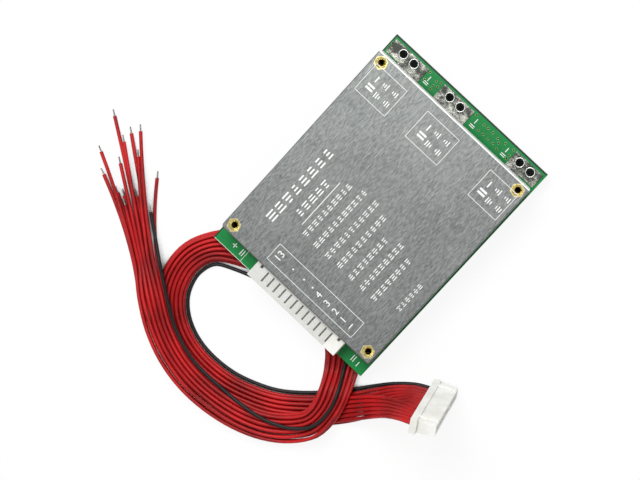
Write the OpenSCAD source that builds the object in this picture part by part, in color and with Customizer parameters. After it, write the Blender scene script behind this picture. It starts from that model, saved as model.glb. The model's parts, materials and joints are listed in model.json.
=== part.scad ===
// Battery management board: a circuit board with power switches under an aluminium
// heat plate, and a loose fourteen-way sense harness with a plug on one end.
// Millimetres. The board stands level on its four standoff feet, centred on the origin.

/* [Board] */
// Board size along X
board_w = 65; // [62:0.5:70]
// Board size along Y
board_l = 88; // [86:0.5:94]
// Board thickness
board_t = 1.6; // [1.2:0.1:2]
// Height of the standoff feet under the board
foot_h = 4; // [4:0.1:6]

/* [Heat plate] */
// Plate size along X
plate_w = 64.5; // [62:0.5:66]
// Plate size along Y
plate_l = 76; // [74:0.5:80]
// Plate thickness
plate_t = 2; // [1.5:0.1:3]
// Gap between board and plate
plate_gap = 6; // [6:0.1:8]
// Corner radius of the plate
plate_corner_r = 1.2; // [0.5:0.1:3]
// Chamfer along the plate's top edges
plate_chamfer = 0.35; // [0.1:0.05:0.6]

/* [Standoffs] */
// Spacing of the standoffs along X
standoff_dx = 58.5; // [56:0.5:58.5]
// Spacing of the standoffs along Y
standoff_dy = 70; // [66:0.5:70]
// Hexagon size across the flats
hex_af = 4.2; // [3.8:0.1:4.4]
// Radius of the round foot
foot_r = 1.8; // [1.5:0.1:1.9]
// Radius of the tapped hole
tap_r = 1.05; // [0.9:0.05:1.2]

/* [Header and plug] */
// Number of contacts
contacts = 14; // [14:1:14]
// Distance between contacts
pitch = 2.54; // [2.5:0.02:2.54]
// Header centre along X
header_x = 3; // [0:0.5:4]
// Header depth along Y
header_d = 9.5; // [9:0.1:10.5]
// Plug depth along the wires
plug_d = 8.2; // [8:0.1:10.5]
// Plug thickness
plug_t = 5; // [4.8:0.05:6]
// Lean of the standing plug in degrees
plug_lean = 12; // [0:1:15]

/* [Solder pads] */
// Radius of the cable holes
cable_hole_r = 1.3; // [1:0.05:1.4]
// Distance between the two holes of a pad
cable_hole_dx = 4.5; // [4:0.1:5]

/* [Harness] */
// Radius of a sense wire over its insulation
wire_r = 0.6; // [0.5:0.02:0.6]
// Length of the bare strands at a wire's end
strand_l = 2.3; // [1.5:0.1:3]

/* [Hidden] */
$fn = 48;
eps = 0.01;

board_z = foot_h;
board_top = board_z + board_t;
plate_z = board_top + plate_gap;
plate_top = plate_z + plate_t;
hex_sink = 0.15;
hex_r = hex_af / sqrt(3);
sink_r = 1.85;
sink_h = 0.8;

// Solder pads: centre along X, left and right edge
pad_x = [-24.35, -4.35, 25.75];
pad_span = [[-31.5, -17.4], [-10.6, 2.2], [20.4, 31.7]];
pad_y = [36, 42.9];
hole_y = 40.9;
pad_t = 0.3;

row_len = (contacts - 1) * pitch;
header_l = row_len + 4.9;
header_y = -board_l / 2;
header_wall = 0.85;
mouth_d = 6.8;
slot_w = 0.6;
pin_w = 0.64;
pin_z = board_top + plate_gap / 2;
pin_row_y = header_y + header_d + 0.9;

// Power switch bodies
fet_body = [10.2, 9.2, 4.3];
fet_dx = 11.6;
fets = 5;
fet_row_y = [25.2, 8.6];
pad_sheet_t = plate_gap - fet_body[2] - 0.1;

// ---- shapes used more than once -----------------------------------------

module rounded_plan(w, l, r, h) {
    for (s = [[w - 2 * r, l], [w, l - 2 * r]])
        translate([-s[0] / 2, -s[1] / 2, 0]) cube([s[0], s[1], h]);
    for (x = [-1, 1], y = [-1, 1])
        translate([x * (w / 2 - r), y * (l / 2 - r), 0]) cylinder(r = r, h = h);
}

// A long bar along Y whose top edges are chamfered
module chamfered_bar(w, l, h, c) {
    rotate([90, 0, 0]) translate([0, 0, -l / 2]) linear_extrude(l)
        polygon([[-w / 2, 0], [w / 2, 0], [w / 2, h - c], [w / 2 - c, h],
            [-w / 2 + c, h], [-w / 2, h - c]]);
}

module at_standoffs() {
    for (x = [-1, 1], y = [-1, 1])
        translate([x * standoff_dx / 2, y * standoff_dy / 2, 0]) children();
}

module at_cable_holes() {
    for (x = pad_x, s = [-1, 1])
        translate([x + s * cable_hole_dx / 2, hole_y, 0]) children();
}

module at_contacts(y) {
    for (i = [0 : contacts - 1])
        translate([header_x + i * pitch - row_len / 2, y, 0]) children();
}

module at_fets(row) {
    for (i = [0 : fets - 1])
        translate([(i - (fets - 1) / 2) * fet_dx, fet_row_y[row], board_top]) children();
}

module block(size) {
    translate([-size[0] / 2, -size[1] / 2, 0]) cube(size);
}

// ---- board --------------------------------------------------------------

module circuit_board() color("seagreen") difference() {
    translate([0, 0, board_z]) block([board_w, board_l, board_t]);
    at_standoffs() cylinder(r = foot_r, h = plate_z);
    at_cable_holes() cylinder(r = cable_hole_r, h = plate_z);
    at_contacts(pin_row_y) translate([0, 0, board_z - eps])
        block([pin_w, pin_w, board_t + 2 * eps]);
}

module heat_plate() color("silver") difference() {
    intersection() {
        translate([0, 0, plate_z]) rounded_plan(plate_w, plate_l, plate_corner_r, plate_t);
        translate([0, 0, plate_z]) chamfered_bar(plate_w, plate_l + 1, plate_t, plate_chamfer);
        translate([0, 0, plate_z]) rotate([0, 0, 90])
            chamfered_bar(plate_l, plate_w + 1, plate_t, plate_chamfer);
    }
    at_standoffs() translate([0, 0, plate_z - 1]) rotate([0, 0, 45])
        cylinder(r = hex_r, h = plate_t + 2, $fn = 6);
}

// A hexagon column pressed into the plate, with a round foot through the board
module standoff() difference() {
    union() {
        cylinder(r = foot_r, h = board_top);
        translate([0, 0, board_top]) rotate([0, 0, 45])
            cylinder(r = hex_r, h = plate_top - hex_sink - board_top, $fn = 6);
    }
    translate([0, 0, -1]) cylinder(r = tap_r, h = plate_top + 2);
    translate([0, 0, plate_top - hex_sink - sink_h])
        cylinder(r1 = tap_r, r2 = sink_r, h = sink_h + eps);
}

module standoffs() color("gold") at_standoffs() standoff();

// Solder fillets round the feet, under the board
module standoff_solder() color("lightgray") at_standoffs()
    translate([0, 0, board_z]) rotate_extrude()
        polygon([[foot_r, 0], [foot_r + 1.1, 0], [foot_r + 0.8, -0.2], [foot_r + 0.2, -0.7],
            [foot_r, -0.9]]);

// A tinned copper pad with a heaped rim of solder, open at its two cable holes
module solder_pad(i) color("gray") difference() {
    union() {
        translate([pad_span[i][0], pad_y[0], board_top])
            cube([pad_span[i][1] - pad_span[i][0], pad_y[1] - pad_y[0], pad_t]);
        for (s = [-1, 1])
            translate([pad_x[i] + s * cable_hole_dx / 2, hole_y, board_top])
                cylinder(r1 = cable_hole_r + 0.75, r2 = cable_hole_r + 0.25, h = pad_t + 0.15);
    }
    at_cable_holes() cylinder(r = cable_hole_r, h = plate_z);
    at_standoffs() block([6.2, 5.6, plate_z]);
}

module charge_pad() solder_pad(0);
module discharge_pad() solder_pad(1);
module battery_pad() solder_pad(2);

// Thick tinned tracks under the board that join the pads to the power switches
module power_traces() color("lightgray") difference() {
    for (i = [0 : 2], j = [0 : 2])
        translate([pad_span[i][0] + 2.2 + j * 3.4, 14, board_z - 0.5]) cube([2.2, 17 - j, 0.5]);
    at_standoffs() cylinder(r = foot_r + 1.4, h = plate_z);
}

// ---- header -------------------------------------------------------------

module header_shell() color("ivory") difference() {
    translate([header_x - header_l / 2, header_y, board_top])
        cube([header_l, header_d, plate_gap]);
    // mouth for the plug
    translate([header_x - header_l / 2 + header_wall, header_y - 1, board_top + header_wall])
        cube([header_l - 2 * header_wall, mouth_d + 1, plate_gap - 2 * header_wall]);
    // key slots through the top wall, one over each inner contact
    for (i = [1 : contacts - 2])
        translate([header_x + i * pitch - row_len / 2 - slot_w / 2, header_y + 1.4, pin_z])
            cube([slot_w, 3.75, plate_gap]);
    // latch notches at both ends of the top wall
    for (s = [-1, 1])
        translate([header_x + s * (header_l / 2 - 2.1) - 0.5, header_y + 4.5, pin_z])
            cube([1, 1.1, plate_gap]);
    // pin passages in the back wall
    at_contacts(header_y + header_d) translate([0, -header_d / 2, pin_z - pin_w / 2])
        block([pin_w, header_d + 1, pin_w]);
}

module header_pin() {
    tip = header_d - 0.9;
    translate([0, header_y + tip / 2 + 0.9, pin_z - pin_w / 2]) block([pin_w, tip, pin_w]);
    translate([0, pin_row_y - pin_w, pin_z - pin_w / 2]) block([pin_w, 3 * pin_w, pin_w]);
    translate([0, pin_row_y, board_z - 1.1]) block([pin_w, pin_w, pin_z - board_z + 1.1]);
}

module header_pins() color("lightgray")
    for (i = [0 : contacts - 1])
        translate([header_x + i * pitch - row_len / 2, 0, 0]) header_pin();

module header_solder() color("lightgray") difference() {
    at_contacts(pin_row_y) translate([0, 0, board_z - 0.8])
        cylinder(r1 = 0.5, r2 = 0.95, h = 0.8);
    at_contacts(pin_row_y) translate([0, 0, board_z - 1]) block([pin_w, pin_w, 2]);
}

// ---- power switches, pad and shunts ---------------------------------------

module fet_case() {
    rotate([90, 0, 90]) translate([0, 0, -fet_body[0] / 2]) linear_extrude(fet_body[0])
        polygon([[-fet_body[1] / 2, 0.2], [fet_body[1] / 2, 0.2], [fet_body[1] / 2, 2.4],
            [fet_body[1] / 2 - 0.35, fet_body[2]], [-fet_body[1] / 2 + 0.35, fet_body[2]],
            [-fet_body[1] / 2, 2.4]]);
}

module discharge_mosfets() color("dimgray") at_fets(0) fet_case();
module charge_mosfets() color("dimgray") at_fets(1) fet_case();

// The drain tab lies under the case and stands out behind it
module mosfet_tabs() color("lightgray") for (row = [0, 1]) at_fets(row) {
    translate([0, 0, 0]) block([9, fet_body[1] - 1, 0.2]);
    translate([0, fet_body[1] / 2 + 0.65, 0]) block([8, 1.3, 1.3]);
}

module mosfet_leads() color("lightgray") for (row = [0, 1]) at_fets(row) for (x = [-2.54, 2.54])
    translate([x - 0.4, -fet_body[1] / 2, 0]) rotate([90, 0, 90]) linear_extrude(0.8)
        polygon([[0, 2.2], [0, 1.7], [-1, 1.7], [-1.6, 0.4], [-1.6, 0], [-3.2, 0],
            [-3.2, 0.5], [-2.1, 0.5], [-1.3, 2.2]]);

module thermal_pad() color("lightblue") for (y = fet_row_y)
    translate([0, y, plate_z - pad_sheet_t]) block([fets * fet_dx, fet_body[1] + 0.6, pad_sheet_t]);

shunts = 4;
shunt_x = 9.6;
module at_shunts() for (i = [0 : shunts - 1])
    translate([shunt_x + i * 4.1, -3.5, board_top]) children();
module current_shunts() color("dimgray") at_shunts() block([3.2, 4.2, 0.9]);
module shunt_ends() color("lightgray") at_shunts() for (s = [-1, 1])
    translate([0, s * (2.1 + 0.55), 0]) block([3.3, 1.1, 1]);

// ---- sensing parts ------------------------------------------------------

chip_x = [-22, -9.5, 3];
chip_y = -8;
module at_chips() for (x = chip_x) translate([x, chip_y, board_top]) children();
module protection_chips() color("dimgray") at_chips() difference() {
    translate([0, 0, 0.1]) block([5.3, 8.2, 1.6]);
    translate([-1.9, 3.3, 1.6]) cylinder(r = 0.4, h = 1);
}
module chip_leads() color("lightgray") at_chips() for (s = [0, 180], j = [0 : 9])
    rotate([0, 0, s]) translate([2.65, (j - 4.5) * 0.8 + 0.15, 0]) rotate([90, 0, 0])
        linear_extrude(0.3)
            polygon([[0, 1], [0, 0.8], [0.4, 0.8], [0.6, 0], [1.3, 0], [1.3, 0.2],
                [0.75, 0.2], [0.55, 1]]);

cells = contacts - 1;
cell_dx = 4.3;
module at_cells(y) for (i = [0 : cells - 1])
    translate([(i - (cells - 1) / 2) * cell_dx, y, board_top]) children();
resistor_y = -27.2;
module balance_resistors() color("dimgray") at_cells(resistor_y) block([2.4, 5, 0.6]);
module resistor_ends() color("lightgray") at_cells(resistor_y) for (s = [-1, 1])
    translate([0, s * 2.75, 0]) block([2.5, 0.5, 0.65]);
module balance_transistors() color("dimgray") at_cells(-21) {
    translate([0, 0, 0.1]) block([2.9, 1.3, 0.9]);
    for (x = [-0.95, 0.95]) translate([x, -0.95, 0]) block([0.4, 0.6, 0.3]);
    translate([0, 0.95, 0]) block([0.4, 0.6, 0.3]);
}
module filter_capacitors() color("tan") at_cells(-17) block([1.3, 1.2, 0.8]);
module capacitor_ends() color("lightgray") at_cells(-17) for (s = [-1, 1])
    translate([0, s * 0.8, 0]) block([1.3, 0.4, 0.85]);

// ---- harness ------------------------------------------------------------

// Centre line of the harness over the table, from the plug to the loose ends
route = [[54.5, -36.5], [50.5, -38.8], [46, -43], [42, -48], [37.5, -54], [32.5, -60],
    [26, -66.5], [19, -72], [11, -76], [2, -78.8], [-8, -79.6], [-17, -78.2], [-25, -74.4],
    [-31, -68.4], [-34, -61], [-34, -54], [-31, -47.5], [-25, -42], [-17, -37], [-8, -33.5],
    [2, -32.5], [11, -33.6], [17.6, -37.6], [22.6, -42.6], [26.6, -48.2], [29.8, -54],
    [31.6, -60.5], [31.2, -67], [27, -73], [20.5, -78.2], [12, -81.8], [2, -83.8], [-8, -84],
    [-17.5, -82.2], [-26.5, -78.4], [-35, -72.8], [-43, -67]];
// Where each wire's insulation ends: the black one, then the red ones from right to left
loose_end = [[-53.4, -52.9], [-59.6, -43.8], [-73.5, -36], [-75.6, -39], [-68.6, -42.6],
    [-60.6, -53], [-75.3, -42.3], [-83.5, -38.6], [-71.5, -48.3], [-63.8, -55.6],
    [-61.2, -57.2], [-66, -56.4], [-78.7, -49.9], [-73.4, -55.2]];

last = len(route) - 1;
lay = 1.45; // distance between touching wires, with a little air
low = 0.7; // height of the lowest wires' axes
sides = 8;
loose_rings = 8;
// Half of the spacing of the wires in one layer, at stations along the route
spread = [[0, 0.725], [16, 0.725], [17, 0.9], [19, 1.35], [20.3, 1.45], [21.4, 1.45],
    [22, 1.2], [23, 0.93], [24, 0.85], [25, 0.76], [26, 0.725]];
// The black wire's offset from the centre line, and the layer it rides in
black_side = [[0, -5.8], [16, -5.8], [17.5, -8.2], [18.6, -9.6], [19, -9], [20, -4.5],
    [21, -0.5], [22.5, 1.6], [24, 1.6], [25, 1.45], [26.5, 1.3], [28, -0.6], [29.4, -3.2],
    [30.6, -5.3]];
black_layer = [[0, 0], [17.6, 0], [18.6, 2], [29.6, 2], [31.2, 1.2]];
// The second run of the harness crosses the first from this station on
second_run = 23;
first_run = [for (i = [3 : 16]) route[i]];

function unit(v) = v / norm(v);
function ease(x) = let (c = min(max(x, 0), 1)) c * c * (3 - 2 * c);
function heading(i) = unit(route[min(i + 1, last)] - route[max(i - 1, 0)]);
function leftward(i) = let (d = heading(i)) [-d[1], d[0]];
function slot_of(k) = k < 8 ? 2 * (k - 1) : 2 * (k - 8) + 1;
function layer_h(p) = sqrt(max(0, lay * lay - p * p));
function gap_to(q, a, b) =
    let (ab = b - a, t = min(max((q - a) * ab / (ab * ab), 0), 1)) norm(a + t * ab - q);
function gap_to_first(q) =
    min([for (i = [0 : len(first_run) - 2]) gap_to(q, first_run[i], first_run[i + 1])]);
// How far the second run is lifted where it lies on the first one
function rise(i, u) = i < second_run ? 0 :
    (2.72 + 1.5 * ease((29 - i) / 2.5))
        * ease((12.7 - gap_to_first(route[i] + leftward(i) * u)) / 6.3);
// A wire's place in the bundle at a station: offset to the left, and height over the lowest
function flat_place(k, i) =
    let (p = lookup(i, spread), h = layer_h(p), ride = lookup(i, black_layer))
    k == 0 ? [lookup(i, black_side), h * min(ride, 1) + lay * max(0, ride - 1)]
        : [(slot_of(k) - 6) * p, slot_of(k) % 2 * h];
function place(k, i) =
    let (f = flat_place(k, i), a = atan((rise(i, f[0] + 0.7) - rise(i, f[0] - 0.7)) / 1.4))
    [f[0] - f[1] * sin(a), rise(i, f[0]) + low + f[1] * cos(a)];
// The wires leave the standing plug one above the other and settle into the bundle
function contact_s(k) = 2.45 + pitch * k;
plug_base = plug_t / 2 * sin(plug_lean);
function fan_out(i) = let (x = min(max((i - 0.2) / 5.2, 0), 1)) pow(1 - x, 3) * (1 + 3 * x);
function bundle_point(k, i) =
    let (c = place(k, i), f = fan_out(i), u = -5.8 + pitch * k * sin(plug_lean),
        z = contact_s(k) * cos(plug_lean) + plug_base,
        q = route[i] + leftward(i) * (c[0] * (1 - f) + u * f))
    [q[0], q[1], c[1] * (1 - f) + z * f];
function end_height(k) = k == 0 ? 3.2 : slot_of(k) % 2 ? 2.5 : low;
function end_point(k) = let (e = loose_end[k == 0 ? 0 : slot_of(k) + 1]) [e[0], e[1], end_height(k)];
function loose_bend(k) =
    let (b = bundle_point(k, last), e = end_point(k), d = heading(last),
        l = 0.45 * norm([e[0] - b[0], e[1] - b[1]]))
    [b[0] + d[0] * l, b[1] + d[1] * l, 0.35 * b[2] + 0.65 * e[2]];
function loose_point(k, t) =
    (1 - t) * (1 - t) * bundle_point(k, last) + 2 * t * (1 - t) * loose_bend(k) + t * t * end_point(k);
function wire_path(k) = concat([for (i = [0 : last]) bundle_point(k, i)],
    [for (j = [1 : loose_rings]) loose_point(k, j / loose_rings)]);

function ring(c, t) = let (s = unit(cross([0, 0, 1], t)), u = cross(t, s))
    [for (j = [0 : sides - 1]) c + wire_r * (cos(j * 360 / sides) * s + sin(j * 360 / sides) * u)];
function tangent(p, i) = i == 0 ? [heading(0)[0], heading(0)[1], 0]
    : unit(p[min(i + 1, len(p) - 1)] - p[i - 1]);

module tube(p) {
    n = len(p);
    polyhedron(points = [for (i = [0 : n - 1]) each ring(p[i], tangent(p, i))],
        faces = concat([[for (j = [0 : sides - 1]) j]],
            [for (i = [0 : n - 2], j = [0 : sides - 1]) let (a = i * sides, m = (j + 1) % sides)
                [a + j, a + sides + j, a + sides + m]],
            [for (i = [0 : n - 2], j = [0 : sides - 1]) let (a = i * sides, m = (j + 1) % sides)
                [a + j, a + sides + m, a + m]],
            [[for (j = [sides - 1 : -1 : 0]) (n - 1) * sides + j]]));
}

module wire(k) color(k == 0 ? "#202020" : "#c01820") tube(wire_path(k));

// Bare tinned strands, twisted to a point at each wire's end
module wire_ends() color("silver") for (k = [0 : contacts - 1]) {
    p = wire_path(k);
    d = tangent(p, len(p) - 1);
    translate(end_point(k)) rotate([0, acos(d[2]), atan2(d[1], d[0])])
        cylinder(r1 = 0.3, r2 = 0.2, h = strand_l);
}

// The plug's own frame: X out along the wires, Z from the black wire to the last red one
module on_plug() {
    h = heading(0);
    start = route[0] + leftward(0) * (-5.8 - contact_s(0) * sin(plug_lean));
    translate([start[0], start[1], plug_base]) rotate([0, 0, atan2(h[1], h[0])])
        rotate([-plug_lean, 0, 0]) children();
}

plug_l = row_len + 4.9;
nose_d = 6;
nose_t = 4;
cell_w = 1.8;
module plug_housing() color("white") on_plug() difference() {
    union() {
        translate([nose_d - plug_d, -plug_t / 2, 0]) cube([plug_d - nose_d, plug_t, plug_l]);
        translate([-plug_d, -nose_t / 2, 1]) cube([nose_d, nose_t, plug_l - 2]);
        for (z = [4, plug_l - 5])
            translate([-plug_d, -plug_t / 2, z]) cube([nose_d, 2, 1]);
    }
    for (k = [0 : contacts - 1]) translate([0, 0, contact_s(k)]) {
        translate([-plug_d - 1, -cell_w / 2, -cell_w / 2]) cube([plug_d + 2, cell_w, cell_w]);
        translate([-plug_d + 2, 0, -0.6]) cube([2.6, plug_t, 1.2]);
    }
}

// Crimped contacts: a box that takes the pin, then a barrel that grips the wire
module plug_contacts() color("lightgray") on_plug()
    for (k = [0 : contacts - 1]) translate([0, 0, contact_s(k)]) {
        difference() {
            translate([0.6 - plug_d, -0.8, -0.8]) cube([4.6, 1.6, 1.6]);
            translate([-plug_d, -0.5, -0.5]) cube([4.8, 1, 1]);
        }
        translate([5.2 - plug_d, 0, 0]) rotate([0, 90, 0]) cylinder(r = 0.6, h = plug_d - 5.2);
    }

circuit_board();
heat_plate();
standoffs();
standoff_solder();
charge_pad();
discharge_pad();
battery_pad();
header_shell();
header_pins();
header_solder();
discharge_mosfets();
charge_mosfets();
mosfet_tabs();
mosfet_leads();
thermal_pad();
current_shunts();
shunt_ends();
protection_chips();
chip_leads();
balance_resistors();
resistor_ends();
balance_transistors();
filter_capacitors();
capacitor_ends();
power_traces();
plug_housing();
plug_contacts();
wire_ends();
wire(0);  // wire_black
wire(1);  // wire_red_1
wire(2);  // wire_red_2
wire(3);  // wire_red_3
wire(4);  // wire_red_4
wire(5);  // wire_red_5
wire(6);  // wire_red_6
wire(7);  // wire_red_7
wire(8);  // wire_red_8
wire(9);  // wire_red_9
wire(10);  // wire_red_10
wire(11);  // wire_red_11
wire(12);  // wire_red_12
wire(13);  // wire_red_13
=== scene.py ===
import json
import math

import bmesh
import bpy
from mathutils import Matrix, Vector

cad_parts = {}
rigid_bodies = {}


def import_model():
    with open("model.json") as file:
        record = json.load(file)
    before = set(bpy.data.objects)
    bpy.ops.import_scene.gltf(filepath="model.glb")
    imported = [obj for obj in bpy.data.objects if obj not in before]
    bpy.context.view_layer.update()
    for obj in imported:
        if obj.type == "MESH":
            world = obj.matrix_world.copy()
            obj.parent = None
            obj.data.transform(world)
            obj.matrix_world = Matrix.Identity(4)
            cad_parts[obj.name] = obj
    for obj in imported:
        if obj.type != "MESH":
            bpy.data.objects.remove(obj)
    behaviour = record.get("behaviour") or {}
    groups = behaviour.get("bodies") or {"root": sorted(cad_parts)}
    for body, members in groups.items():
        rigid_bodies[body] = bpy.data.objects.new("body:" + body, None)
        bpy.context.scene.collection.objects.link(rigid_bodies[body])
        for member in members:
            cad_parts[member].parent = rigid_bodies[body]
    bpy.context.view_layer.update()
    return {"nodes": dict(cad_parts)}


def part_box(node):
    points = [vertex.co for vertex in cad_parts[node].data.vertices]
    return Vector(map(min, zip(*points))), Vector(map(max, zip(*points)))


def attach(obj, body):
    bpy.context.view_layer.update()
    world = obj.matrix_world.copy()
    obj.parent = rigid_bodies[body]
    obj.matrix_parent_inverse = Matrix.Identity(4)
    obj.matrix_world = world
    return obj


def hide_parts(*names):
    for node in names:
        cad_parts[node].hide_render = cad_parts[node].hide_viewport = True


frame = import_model()

# %% [markdown]
# # A battery management board with its sense harness
# The object is a green circuit board whose power switches hide under a brushed aluminium
# plate, and fourteen thin wires that join a long white plug to fourteen bare ends. The solid
# parts come from the CAD frame and get finishes here; wires, strands, print, vias and the
# rims of the cable holes are modelled in this file. Blender's unit is the metre here, so
# millimetres are written as `4 * MM`. Lists of points are in millimetres until they are used.

MM = 0.001
nodes = frame["nodes"]


def corners(name):
    """Lowest and highest corner of a CAD node."""
    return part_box(name)


board_lo, board_hi = corners("circuit_board")
plate_hi = corners("heat_plate")[1]
# The three cable pads: the middle of each, the row of their holes, and half a pair's spacing
pad_middle = {"charge": -24.35, "discharge": -4.35, "battery": 25.75}
hole_row, hole_aside = 40.9, 2.25
print("board top", round(board_hi.z / MM, 2), "mm; plate top", round(plate_hi.z / MM, 2), "mm")

# %% [markdown]
# ## Camera
# A flat thing shows best from nearly overhead, and a long lens keeps its parallel edges
# parallel. The camera's three axes are written down directly: the way toward the camera, and
# which way is right in the view. The third axis follows from those two.

# %% The camera
look_at = Vector((-6.5, -20.9, 5.6)) * MM
towards_camera = Vector((0.09, 0.19, 1)).normalized()
view_right = Vector((0.727, 0.686, 0))
view_right = (view_right - towards_camera * view_right.dot(towards_camera)).normalized()
view_up = towards_camera.cross(view_right)
distance = 0.9
half_width = 102 * MM

camera = bpy.data.objects.new("camera", bpy.data.cameras.new("camera"))
bpy.context.scene.collection.objects.link(camera)
turn = Matrix((view_right, view_up, towards_camera)).transposed().to_4x4()
camera.matrix_world = Matrix.Translation(look_at + towards_camera * distance) @ turn
camera.data.lens = camera.data.sensor_width / 2 * distance / half_width
bpy.context.scene.camera = camera
print("lens", round(camera.data.lens, 1), "mm")

# %% [markdown]
# ## Sockets that can be added and multiplied
# A shader tree is easier to read as arithmetic. `Sig` wraps one output socket, and its
# operators add Math nodes, with the reflected forms so that `1 - grain` works as well.

# %% Shader arithmetic
class Sig:
    """An output socket of a shader tree that takes part in arithmetic."""

    def __init__(self, finish, socket):
        self.finish, self.socket = finish, socket

    def _math(self, operation, first, second=0.0):
        node = self.finish.node("ShaderNodeMath", {0: first, 1: second}, operation=operation)
        return Sig(self.finish, node.outputs[0])

    def __add__(self, other):
        return self._math("ADD", self, other)

    def __radd__(self, other):
        return self._math("ADD", other, self)

    def __sub__(self, other):
        return self._math("SUBTRACT", self, other)

    def __rsub__(self, other):
        return self._math("SUBTRACT", other, self)

    def __mul__(self, other):
        return self._math("MULTIPLY", self, other)

    def __truediv__(self, other):
        return self._math("DIVIDE", self, other)

    def abs(self):
        return self._math("ABSOLUTE", self)

    def larger(self, other):
        return self._math("MAXIMUM", self, other)


# %% [markdown]
# ## One way to build a finish
# Each finish is a Principled shader fed by a few patterns. `Finish` makes the nodes: settings
# are set before sockets because they decide which sockets exist. Patterns read Object
# coordinates in metres, so the same grain size holds on every piece.

# %% The finish builder
class Finish:
    """A material with one Principled shader, and short names for the usual patterns."""

    def __init__(self, name, **constants):
        self.material = bpy.data.materials.new(name)
        self.material.use_nodes = True
        self.tree = self.material.node_tree
        self.tree.nodes.clear()
        self.shader = self.node("ShaderNodeBsdfPrincipled")
        output = self.node("ShaderNodeOutputMaterial")
        self.tree.links.new(self.shader.outputs[0], output.inputs["Surface"])
        for socket, value in constants.items():
            self.set(socket.replace("_", " "), value)

    def node(self, kind, sockets=None, **settings):
        made = self.tree.nodes.new(kind)
        for name, value in settings.items():
            setattr(made, name, value)
        for key, value in (sockets or {}).items():
            self.feed(made.inputs[key], value)
        return made

    def feed(self, socket, value):
        if isinstance(value, Sig):
            self.tree.links.new(value.socket, socket)
        elif isinstance(value, bpy.types.NodeSocket):
            self.tree.links.new(value, socket)
        else:
            socket.default_value = value

    def set(self, socket, value):
        self.feed(self.shader.inputs[socket], value)

    def place(self, stretch=(1, 1, 1)):
        """Object coordinates, stretched for patterns that are longer one way."""
        where = self.node("ShaderNodeTexCoord").outputs["Object"]
        return self.node("ShaderNodeMapping", {"Vector": where, "Scale": stretch}).outputs[0]

    def axis(self, name):
        """One Object coordinate, in metres."""
        split = self.node("ShaderNodeSeparateXYZ", {0: self.place()})
        return Sig(self, split.outputs["XYZ".index(name)])

    def noise(self, size, detail=3.0, rough=0.55, stretch=(1, 1, 1)):
        """Cloudy noise from 0 to 1 whose blotches are about `size` metres across."""
        made = self.node("ShaderNodeTexNoise", {"Vector": self.place(stretch),
                         "Scale": 1 / size, "Detail": detail, "Roughness": rough})
        return Sig(self, made.outputs[0])

    def ramp(self, value, low, high, out_low=0.0, out_high=1.0):
        """A soft step: out_low up to `low`, out_high from `high`."""
        made = self.node("ShaderNodeMapRange", {0: value, 1: low, 2: high,
                         3: out_low, 4: out_high}, interpolation_type="SMOOTHSTEP")
        return Sig(self, made.outputs[0])

    def attribute(self, name):
        """A number that the mesh stores, such as how far along a wire a point lies."""
        return Sig(self, self.node("ShaderNodeAttribute", attribute_name=name).outputs["Fac"])

    def blend(self, factor, first, second):
        """A colour between two colours, each a tuple or a blend made before."""
        made = self.node("ShaderNodeMix", {0: factor, 6: colour(first), 7: colour(second)},
                         data_type="RGBA")
        return made.outputs[2]

    def bump(self, height, depth, strength=1.0):
        made = self.node("ShaderNodeBump", {"Height": height, "Distance": depth,
                         "Strength": strength})
        self.set("Normal", made.outputs[0])


def colour(value):
    """Colours are written as they look on a screen, from 0 to 255, and turned linear here."""
    if not isinstance(value, tuple):
        return value
    linear = [((c / 255 + 0.055) / 1.055) ** 2.4 if c > 10 else c / 255 / 12.92 for c in value]
    return (*linear, 1.0)


print("finish builder ready")

# %% [markdown]
# ## The route of the harness
# Fourteen wires leave the standing plug and swing round to the board. They pass under its
# edge beside the header, come out again, climb over their own first run and fan out into
# loose ends. A free simulation would never repeat that lay, so one centre line is listed
# and every wire is placed from it: a place across the bundle, a layer, and a rise where
# the bundle crosses itself.

# %% Points of the centre line, and of the loose ends, in millimetres
route = [(54.5, -36.5), (50.5, -38.8), (46, -43), (42, -48), (37.5, -54), (32.5, -60),
         (26, -66.5), (19, -72), (11, -76), (2, -78.8), (-8, -79.6), (-17, -78.2), (-25, -74.4),
         (-31, -68.4), (-34, -61), (-34, -54), (-31, -47.5), (-25, -42), (-17, -37), (-8, -33.5),
         (2, -32.5), (11, -33.6), (17.6, -37.6), (22.6, -42.6), (26.6, -48.2), (29.8, -54),
         (31.6, -60.5), (31.2, -67), (27, -73), (20.5, -78.2), (12, -81.8), (2, -83.8), (-8, -84),
         (-17.5, -82.2), (-26.5, -78.4), (-35, -72.8), (-43, -67)]
route = [Vector(p) for p in route]
# Where each wire's insulation ends: the black one, then the red ones by their slot
loose_end = [(-53.4, -52.9), (-59.6, -43.8), (-73.5, -36), (-75.6, -39), (-68.6, -42.6),
             (-60.6, -53), (-75.3, -42.3), (-83.5, -38.6), (-71.5, -48.3), (-63.8, -55.6),
             (-61.2, -57.2), (-66, -56.4), (-78.7, -49.9), (-73.4, -55.2)]
# Half of the spacing of the wires in one layer, at stations along the route
spread = [(0, 0.725), (16, 0.725), (17, 0.9), (19, 1.35), (20.3, 1.45), (21.4, 1.45),
          (22, 1.2), (23, 0.93), (24, 0.85), (25, 0.76), (26, 0.725)]
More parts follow.
